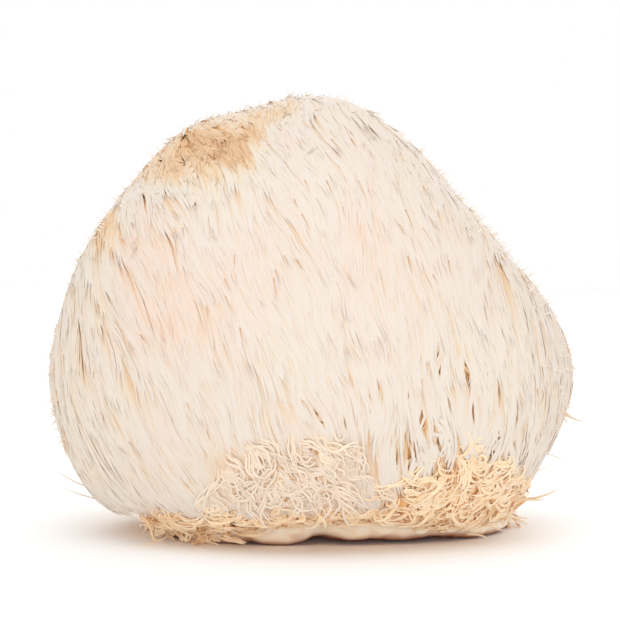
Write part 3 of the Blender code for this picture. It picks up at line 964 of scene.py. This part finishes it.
def grow(chosen, steps, seed, waviness):
    """Everything spine_mesh needs for the spines of the chosen locks and singles."""
    draw = dice(seed)
    share = np.linspace(0, 1, steps + 1)
    each = np.where(is_single[chosen], 1, IN_LOCK)
    lock = np.repeat(chosen, each)
    order = np.concatenate([np.arange(n) for n in each])
    count, single, rubbed, front = len(lock), is_single[lock], worn[lock], thick_front[lock]
    across = np.where(single, 0.0, order - (IN_LOCK - 1) / 2)
    beside = across * lock_pitch[lock] + draw.normal(size=count) * 0.12
    ahead = draw.uniform(-1, 1, count) * LOCK_STAGGER * np.where(single, 0, 1)
    length = lock_length[lock] * draw.uniform(0.88, 1.1, count)
    loose = (draw.random(count) < LOOSE) | (single & (draw.random(count) < LOOSE_SINGLES))
    close = np.where(loose, 0.1, lock_close[lock])
    run = ahead[:, None] + length[:, None] * share
    at = np.clip(run / STEP, 0, STEPS - 1.001)
    low = at.astype(int)
    rows, mix = lock[:, None], (at - low)[:, :, None]

    def between(kind):
        return kind[rows, low] * (1 - mix) + kind[rows, low + 1] * mix

    spot = between(paths) + path_ways[rows, 0] * np.minimum(run, 0)[:, :, None]
    way, normal = unit(between(path_ways)), unit(between(path_normals))
    # Aside from the lock's path: its place in the lock, which closes up, a bend and a bow.
    narrowing = 1 - close[:, None] * share**1.4
    stray = lock_stray[lock] + draw.normal(size=count) * (0.2 + 0.9 * loose)
    bow = lock_bow[lock] + draw.normal(size=count) * (0.12 + 0.4 * loose)
    sway = stray[:, None] * share**2 + bow[:, None] * np.sin(math.pi * share)
    # Wavy tips swing from side to side, and more and more along the spine.
    turns = run / WAVE + draw.random((count, 1)) * 0.25 + lock_tint[lock][:, None]
    swing = waviness * draw.uniform(0.5, 1.3, (count, 1)) * share**1.5 * np.sin(2 * math.pi * turns)
    aside = beside[:, None] * narrowing + (sway + swing)
    spot = pushed(spot + np.cross(normal, way) * aside[:, :, None])
    ways = toward(spot.reshape(-1, 3))
    surface, normals = coat_at(ways)
    # The depth: a spine rises from under its neighbours. A lock's middle arches up a little, and
    # some tips stand off the coat.
    layered = DEEP_EVENLY * (1 - share) + DEEP_ROOT * (1 - share) ** 4
    flatter = 1 - CROWN_FLATTER * bump(lock_polar[lock], 0, CROWN_REACH)
    layered = layered * (np.minimum(length / SPINE_LENGTH, 1) * flatter)[:, None]
    raised = (draw.random(count) < STANDING) * draw.uniform(0.3, 1.1, count)
    tip = np.maximum(raised, lock_raised[lock] * draw.uniform(0.6, 1.1, count))
    tip += loose * 0.3 + rubbed * draw.uniform(0, 0.5, count)
    arch = (np.abs(across) / IN_LOCK * 2) ** 2 * (0.05 + 0.3 * front)
    own = lock_lift[lock] - arch + draw.normal(size=count) * 0.02 + 0.08 * single
    depth = layered + OUTERMOST - own[:, None] * share**0.5 - tip[:, None] * share**5
    depth += TIP_SINKS * share**6
    spots = (surface - normals * depth.reshape(-1)[:, None]).reshape(count, -1, 3)
    thick = draw.uniform(*HALF_WIDTH, count) * (1 - 0.2 * rubbed) * np.where(single, 0.75, 1)
    thick *= lock_pitch[lock] / PITCH
    radii = thick[:, None] * np.interp(share, *TAPER)
    tints = tint_at(spots[:, -1]) + 0.02 * lock_tint[lock] + 0.02 * draw.normal(size=count)
    tints -= 0.05 * rubbed * draw.random(count)
    # Painted shade: the deeper a point lies under the coat's surface, the more it is coloured like
    # the root, darker and warmer, and more so where the locks are thick.
    tip_and_unshaded = 1 - (depth - LIT_DEPTH) / (SHADE_DEPTH * (1 - 0.4 * front))[:, None]
    # Painted shade: a spine beside a parting is coloured more like its root along its length, as
    # shade in the parting.
    parting_shade = (np.abs(across) > IN_LOCK / 2 - 1) * lock_parting_shade[lock] * draw.uniform(0.4, 1, count)
    tip_and_unshaded -= (0.4 * parting_shade)[:, None] * share
    tip_and_unshaded = np.clip(tip_and_unshaded, (SHADE_LIMIT * (1 - front) + 0.4 * lock_whorl[lock])[:, None], 1)
    # Painted shade on the coat under the wavy tips in front.
    tip_and_unshaded -= WAVES_SHADE * under_waves(ways).reshape(tip_and_unshaded.shape) * draw.uniform(0.3, 1, (count, 1))
    frames = frames_outward(spots, normals.reshape(spots.shape))
    rolls = draw.normal(size=count) * 0.12 - across * 0.08
    return spots, frames, radii, rolls, np.clip(tints, 0, COAT_TINTS_END), tip_and_unshaded


print("spines to grow:", len(single_ways) + IN_LOCK * len(lock_ways))

# %% The parts of the coat
CROWN_END = 42            # degrees from the crown
WAVY_TIPS = 114           # degrees from the crown, below which the tips in front wave
WAVY_MIDDLE, WAVY_REACH = 258, 22   # degrees round, and how far to each side of that they do

crown_part = lock_polar < CROWN_END
wavy_part = lock_polar + lock_length / MM_PER_DEGREE > WAVY_TIPS
wavy_part &= np.abs(lock_turn - WAVY_MIDDLE) < WAVY_REACH
rest = ~crown_part & ~wavy_part
# Each part: its locks, the steps along a spine, its seed, and how far its tips wave in mm. The
# front has more steps, since its slits are looked at most.
parts = {
    "crown_spines": (crown_part, 5, 50, 0.0),
    "front_spines": (rest & (np.abs(lock_turn - 270) <= 45), 7, 51, 0.0),
    "left_spines": (rest & (np.abs(lock_turn - 180) < 45), 5, 52, 0.0),
    "back_spines": (rest & (np.abs(lock_turn - 90) <= 45), 4, 53, 0.0),
    "right_spines": (rest & ((lock_turn < 45) | (lock_turn > 315)), 5, 54, 0.0),
    "wavy_spines": (wavy_part, 10, 57, 1.7),
}
total = sum(len(face) - 2 for face in faces)
for name, (chosen, steps, seed, waviness) in parts.items():
    grown = grow(np.flatnonzero(chosen), steps, seed, waviness)
    total += spine_mesh(name, *grown, spines_finish, LYING)
print("triangles so far:", total)

# %% [markdown]
# ## The skirt's curls
# Under the coat's edge the spines had no room to hang, so they curled up into a tangle of short
# loops. A spring shape would look too regular. A better curl is drawn as a snail's path: it starts
# at the flesh, and its heading turns a little more with each step, some to the left and some to
# the right, while it rises and dips over its neighbours. A few curls that start side by side
# share one path, because they grew together, and slow waves make neighbours sweep the same way.


# %% Places for curls on the flesh
CANDIDATES = 8            # places drawn for each one that is kept


def places_on_flesh(count, first, final, wanted, seed):
    """Well spread places on the flesh between two rings: points, normals and the way down."""
    draw = dice(seed)
    grid = rings[first:final + 1]
    down = np.diff(grid, axis=0)
    beside = np.roll(grid, -1, axis=1) - grid
    area = np.linalg.norm(np.cross(beside[:-1], down), axis=2)
    area = area * wanted(grid[:-1].reshape(-1, 3)).reshape(area.shape)
    many = count * CANDIDATES
    cell = draw.choice(area.size, many, p=(area / area.sum()).reshape(-1))
    row, column = np.divmod(cell, COLUMNS)
    spot = grid[row, column] + down[row, column] * draw.random((many, 1))
    spot = spot + beside[row, column] * draw.random((many, 1))
    # Of each few candidates the one that is farthest from all chosen before it stays.
    kept = np.empty((count, 3))
    chosen = np.zeros(count, int)
    for k in range(count):
        batch = spot[k * CANDIDATES:(k + 1) * CANDIDATES]
        apart = ((batch[:, None] - kept[None, :max(k, 1)]) ** 2).sum(2).min(1) if k else np.zeros(1)
        chosen[k] = k * CANDIDATES + apart.argmax()
        kept[k] = spot[chosen[k]]
    spot, row, column = spot[chosen], row[chosen], column[chosen]
    normal = unit(np.cross(down[row, column], beside[row, column]))
    normal *= np.sign((normal * toward(spot)).sum(1))[:, None]
    return spot, normal, unit(down[row, column])


# %% Curls in small locks
CURL_POINTS = 10
CURL_ROOT_AND_SHADE = 0.8           # how light a curl's root is painted: its warm root colour and painted shade near the flesh
# Places along a curl, and the shares of its height and of its thickness there.
CURL_RISE = ((0, 0.35, 1), (-0.5, 0.8, 1.0))
CURL_TAPER = ((0, 0.3, 0.6, 1), (0.7, 0.85, 1, 0.25))
UNDER_COAT = 2.4          # mm, how far the coat presses down the curls that grow under it


def bareness(turns):
    """How bare the foot's skin is: 1 in front, 0 where curls reach down to the table."""
    return bump(turns, 277, 40, 6)


def curls(name, places, tint, seed, *, strands, pitch, length, thickness, height, bend, tighten,
          sweep, chance, aim, slant, wiggle, tip_and_unshaded, under_coat):
    """A piece of curls in small locks of so many strands, pitch mm apart.

    length, thickness and height in mm, and bend and tighten in radians, are (least, most). A lock
    starts aside from the way down by slant, and by aim times waves that sweep over so many mm,
    with some chance of its own. wiggle is its swing in radians, and tip_and_unshaded how light
    the tip of a low curl is painted: below 1 is painted shade deep in the tangle.
    """
    draw = dice(seed)
    locks = len(places[0])
    share = np.linspace(0, 1, CURL_POINTS)

    def strand(values):
        return np.repeat(values, strands, axis=0)

    def per_strand(values, chance):
        return strand(values) * (1 + chance * draw.normal(size=locks * strands))

    spot, normal, down = [strand(part) for part in places]
    count = len(spot)
    ranges = (length, height, bend, tighten)
    length, tall, bend, tighten = [
        per_strand(draw.uniform(*pair, locks), 0.15) for pair in ranges]
    lean = waves(places[0], sweep, seed + 1) + chance * draw.normal(size=locks)
    hand = np.sign(waves(places[0], sweep, seed + 2) + 0.6 * draw.normal(size=locks))
    order = np.tile(np.arange(strands), locks) - (strands - 1) / 2
    thick = draw.uniform(*thickness, count)
    side = np.cross(normal, down)
    first = strand(lean * aim + slant)
    swing = per_strand(draw.uniform(0.8, 1.6, locks), 0.05)[:, None] * share
    swing = swing + strand(draw.random(locks))[:, None]
    turn = first[:, None] + (strand(hand) * bend)[:, None] * share
    turn = turn + (strand(hand) * tighten)[:, None] * share**2
    turn = turn + wiggle * np.sin(2 * math.pi * swing) * np.minimum(share * 2.5, 1)
    start = spot + turned(side, -down, first) * (order * pitch)[:, None]
    start = start + down * draw.normal(size=(count, 1)) * 0.5
    moves = turned(down[:, None], side[:, None], turn)[:, :-1]
    moves = moves * (length / (CURL_POINTS - 1))[:, None, None]
    moves = np.concatenate([np.zeros((count, 1, 3)), moves], 1)
    rise = tall[:, None] * np.interp(share, *CURL_RISE)
    rise = rise + 0.4 * np.sin(draw.uniform(0, 2 * math.pi, (count, 1)) + share * 7.0) * share
    path = start[:, None] + np.cumsum(moves, 1) + normal[:, None] * rise[:, :, None]
    if under_coat:
        ways = toward(path.reshape(-1, 3))
        over = coat_edge(turn_of(ways)) - polar_of(ways) + 2
        path -= normal[:, None] * (np.clip(over / 6, 0, 1) * UNDER_COAT).reshape(count, -1, 1)
    radii = thick[:, None] / 2 * np.interp(share, *CURL_TAPER)
    # The foot's bare skin stays free.
    away = turn_of(toward(start))
    lowest = np.maximum(7.0 * bareness(away), 4.0 * bump(away, 342, 28, 4))
    path[:, :, 2] = np.maximum(path[:, :, 2], radii + lowest[:, None])
    tints = np.clip(tint + 0.012 * draw.normal(size=count) + 0.01 * waves(spot, 15, 62), 0, 1)
    rolls = draw.normal(size=count) * 0.35
    # Painted shade: a curl that lies low in the tangle is coloured warmer and darker, as shade deep
    # in the tangle.
    tips = np.clip(tip_and_unshaded + 0.25 * tall / height[1], 0, 1) * draw.uniform(0.94, 1, count)
    along = CURL_ROOT_AND_SHADE + (tips - CURL_ROOT_AND_SHADE)[:, None] * share
    frames = frames_outward(path, normal[:, None])
    return spine_mesh(name, path, frames, radii, rolls, tints, along, spines_finish, HEAPED)


# %% The tangle between the coat's edge and the bare skin
SKIRT_LOCKS = 1270


def skirt_share(points):
    """How thickly curls stand at places on the flesh: none on the coat or on the bare skin."""
    ways = toward(points)
    turn, past = turn_of(ways), polar_of(ways) - coat_edge(turn_of(ways))
    lowest = 2.0 + 6.0 * bareness(turn) + 4.0 * bump(turn, 344, 28, 4)
    tucked = 9 * bump(turn, 198, 20, 4)
    thicker = 1 + 1.2 * bump(turn, 222, 24, 4) - 0.35 * bump(turn, 90, 80, 4)
    return (past > tucked - 1) * np.clip((points[:, 2] - lowest) / 1.5, 0, 1) * thicker


first_ring, last_ring = COAT_RINGS * 3 // 5, COAT_RINGS + BLEND_RINGS + 2
total += curls(
    "skirt_curls", places_on_flesh(SKIRT_LOCKS, first_ring, last_ring, skirt_share, 61), 0.93, 60,
    strands=3, pitch=0.8, length=(8, 14), thickness=(0.7, 1.1), height=(0.4, 2.2), bend=(0.2, 2.2),
    tighten=(0.3, 4.0), sweep=11, chance=0.5, aim=1.2, slant=0.0, wiggle=0.3, tip_and_unshaded=0.84,
    under_coat=True)

# %% [markdown]
# ## Wavy tips in front
# Low in front the coat's tips are thick, white and wavy, and some close into small loops. They
# are drawn the same way as the skirt's curls, but start in the coat, hang with it, and swing from
# side to side before they turn.

# %% The wavy tips
WAVY_LOCKS = 125
WAVY_SPREAD = (261, 11)   # degrees round: the mean, and how far they scatter
WAVY_LOWEST, WAVY_BAND = 117, 14   # degrees from the crown, and how far up from there they start
WAVY_DEPTH = 2.0          # mm under the coat's surface, where they start

wavy_dice = dice(70)
turns = wavy_dice.normal(*WAVY_SPREAD, WAVY_LOCKS)
# On the left they start up to four degrees lower.
lowest = WAVY_LOWEST + 4 * np.clip((258 - turns) / 10, 0, 1)
polars = lowest - WAVY_BAND * wavy_dice.random(WAVY_LOCKS) ** 1.6
surface, normal = coat_at(ways_at(turns, polars))
total += curls(
    "wavy_tips", (surface - normal * WAVY_DEPTH, normal, combed(surface, normal)), 1.0, 71,
    strands=4, pitch=0.6, length=(8, 16), thickness=(0.7, 1.0), height=(1.3, 2.2), bend=(0.0, 0.4),
    tighten=(0.0, 1.9), sweep=8, chance=0.2, aim=0.2, slant=0.3, wiggle=0.8, tip_and_unshaded=0.96,
    under_coat=False)

# %% [markdown]
# ## Hairs that stand off the coat
# The outline isn't smooth: fine tufts and short, upright tips stand off it all round. On the
# rubbed shoulder and crown tiny dry hairs, thin and dark, curl in every direction, and at the
# back short tips cover the whorl, where the combed spines part. All are thin tubes of few points,
# so one helper draws them, and each kind has only its own lengths and angles. Spines laid over
# the crown's gaps close it. A few larger stray spines, at the skirt's ends and on the right, are
# drawn one by one.

# %% Hairs in small tufts
HAIR_POINTS = 5
TUFT_WIDTH = 0.006        # radians round the body's middle, about 0.4 mm


def hairs(name, ways, seed, length, thickness, stand, *, droop=0.5, lean=0.35, curl=0.1, depth=0.8,
          root=0.75, middle=0.75, tint=None, vary=0.0, strands=1, section=ROUND):
    """A piece of hairs in small tufts of so many strands.

    length and thickness in mm, and stand, the angle in radians at which a hair leaves the combed
    way, are (least, most). droop is the share of that angle lost by its tip. A hair leans aside
    and curls by chance in radians, starts depth mm deep, has a root painted so light on the ramp
    towards the root colour and a middle so thick, and its tint varies. Without a tint it takes the
    coat's.
    """
    draw = dice(seed)
    tufts, count = len(ways), len(ways) * strands
    spread = draw.normal(size=(count, 3)) * TUFT_WIDTH * (strands > 1)
    surface, normal = coat_at(unit(np.repeat(ways, strands, axis=0) + spread))
    down = combed(surface, normal)
    share = np.linspace(0, 1, HAIR_POINTS)
    lift = np.repeat(draw.uniform(*stand, tufts), strands)[:, None] * (1 - droop * share)
    turn = np.repeat(draw.normal(size=(tufts, 1)), strands, axis=0) * lean
    turn = turn + draw.normal(size=(count, 1)) * curl * share
    flat = turned(down[:, None], np.cross(normal, down)[:, None], turn)
    moves = turned(flat, normal[:, None], lift)
    moves[:, 0] = 0
    step = draw.uniform(*length, count)[:, None, None] / (HAIR_POINTS - 1)
    path = (surface - normal * depth)[:, None] + np.cumsum(moves * step, 1)
    radii = draw.uniform(*thickness, count)[:, None] / 2
    radii = radii * np.interp(share, (0, 0.5, 1), (1, middle, 0.12))
    tints = tint_at(surface) if tint is None else tint + draw.normal(size=count) * vary
    tip_and_unshaded = np.broadcast_to(root + (1 - root) * share, radii.shape)
    flattened = section is LYING
    frames = frames_outward(path, normal[:, None]) if flattened else frames_carried(path)
    return spine_mesh(name, path, frames, radii, np.zeros(count), np.clip(tints, 0, 1), tip_and_unshaded,
                      spines_finish, section)


def chosen_ways(ways, count, chance, seed):
    """So many of the directions, each by its own chance."""
    return ways[dice(seed).choice(len(ways), count, replace=False, p=chance / chance.sum())]


# %% Fine hairs
total += hairs("fine_hairs", even_directions(150, -6, 80, 3.0), 81, (4, 8), (0.4, 0.7),
               (0.06, 0.3), lean=0.3, curl=0.12, strands=3)

# %% Short tips that stand up all along the outline
EDGE_TIPS = 520
tip_ways = even_directions(9000, -12, 88, 3.0)
tip_places, tip_normals = coat_at(tip_ways)
chance = bump(tip_normals[:, 1], 0.1, 0.3) * (1 - 0.9 * rubbed_at(tip_places))
chance *= np.exp(1.7 * waves(tip_places, 6, 91))
total += hairs("edge_tips", chosen_ways(tip_ways, EDGE_TIPS, chance, 89), 90, (1.5, 3.6),
               (0.5, 1.0), (0.7, 1.5), droop=-0.5, curl=0.3, root=0.97, middle=0.5, tint=1.0,
               vary=0.004)

# %% Short spines in every direction where the whorl's spines part
WHORL_TIPS = 90
WHORL_SPREAD = 2.2        # mm
spread = dice(92).normal(size=(WHORL_TIPS, 3)) * WHORL_SPREAD
total += hairs("whorl_tips", toward(whorl + spread), 93, (5, 11), (0.8, 1.1), (0.15, 0.5),
               droop=1.3, lean=2.5, curl=0.6, depth=0.9, root=0.88, middle=0.95, tint=0.69,
               vary=0.03)

# %% Dry hairs where the coat is rubbed
DRY_HAIRS = 240
rubbed_ways = even_directions(24000, -60, 82, 2.0)
chance = rubbed_at(coat_surface(rubbed_ways)) ** 1.5
total += hairs("dry_hairs", chosen_ways(rubbed_ways, DRY_HAIRS, chance, 83), 84, (1.6, 4.2),
               (0.16, 0.32), (0.05, 0.7), curl=1.6, tint=0.1, vary=0.05)

# %% Single spines that dried tan and lie flat in the coat, like thin lines
total += hairs("dried_spines", even_directions(260, -14, 85, 3.0), 86, (3.0, 9.0), (0.18, 0.36),
               (0.0, 0.04), lean=0.1, depth=0.3, tint=0.24, vary=0.06)

# %% Single spines laid over gaps, whose middles are given in mm
GAPS = ((10.5, -12, 128), (12, -13, 127.5), (13.5, -14, 127), (12.5, -10, 128), (15, -12, 127.5),
        (14, -17, 126))
total += hairs("laid_spines", toward(np.array(GAPS)), 94, (11, 16), (1.1, 1.4), (0.0, 0.03),
               droop=1.0, lean=0.05, curl=0.08, depth=0.5, root=0.95, middle=0.9, strands=3,
               section=LYING)

# %% Stray spines, one by one
# Each: four points in mm that its curve is drawn towards, its thickness in mm, and its tint.
STRAYS = (
    ((-50, -43, 9.5), (-44, -44, 6.5), (-49, -45, -0.5), (-41.5, -44, 3.8), 1.0, 0.25),
    ((-45, -44, 2.0), (-47, -44, 1.2), (-48, -44, 1.3), (-50, -44, 0.8), 0.4, 0.30),
    ((55, -31, 13), (62, -33, 12), (68, -32, 13.5), (72, -31, 15.8), 1.2, 0.34),
    ((55, -32, 14), (60, -33, 13), (65, -33, 12.6), (68, -33, 12.8), 1.0, 0.34),
    ((73, -14, 38), (77, -14, 35), (79.5, -14, 34), (81.5, -14, 34), 1.0, 0.4),
    ((66, -24, 26), (71, -24, 25), (74, -24, 24), (75.5, -24, 22), 0.4, 0.5),
    ((62, -26, 19), (68, -26, 21), (70.5, -26, 22), (72, -26, 24), 0.35, 0.5),
    ((45, -35, 3), (52, -36, 3.2), (52, -36, 0.8), (46, -36, 0.9), 0.7, 0.40),
    ((50, -33, 6), (53, -34, 4.5), (55.5, -34, 3.8), (57, -34, 3.6), 0.6, 0.38),
    ((-75, -8, 51), (-79, -9, 48), (-81, -9, 47), (-82.5, -9, 47.5), 0.4, 0.5),
    ((-74, -8, 38), (-78, -9, 35), (-80, -9, 34), (-82, -9, 35), 0.4, 0.5),
    ((-68, -12, 14), (-72, -13, 15.5), (-75, -13, 17.5), (-77.4, -13, 19), 0.5, 0.5),
    ((-58, -12, 8.5), (-68, -14, 11), (-73, -15, 13), (-75.2, -15, 14.3), 0.5, 0.5),
    ((45, -42, 92), (48, -44, 94), (48, -45, 96), (47, -46, 97), 0.35, 0.5),
)
STRAY_POINTS = 13
STRAY_ROOT = 0.8          # how light a stray spine's root is painted, on the ramp towards the root colour

controls = np.array([stray[:4] for stray in STRAYS], float)
thick, tints = np.array([stray[4:] for stray in STRAYS]).T
share = np.linspace(0, 1, STRAY_POINTS)[:, None]
weights = ((1 - share) ** 3, 3 * share * (1 - share) ** 2, 3 * share**2 * (1 - share), share**3)
path = sum(weight * controls[:, None, k] for k, weight in enumerate(weights))
radii = thick[:, None] / 2 * np.interp(share[:, 0], (0, 0.5, 1), (1, 0.9, 0.25))
tip_and_unshaded = np.broadcast_to(STRAY_ROOT + (1 - STRAY_ROOT) * share[:, 0], radii.shape)
total += spine_mesh(
    "stray_spines", path, frames_carried(path), radii, np.zeros(len(STRAYS)), tints, tip_and_unshaded,
    spines_finish, ROUND)

# %% The triangles in all, and the end
print("triangles in all:", total)
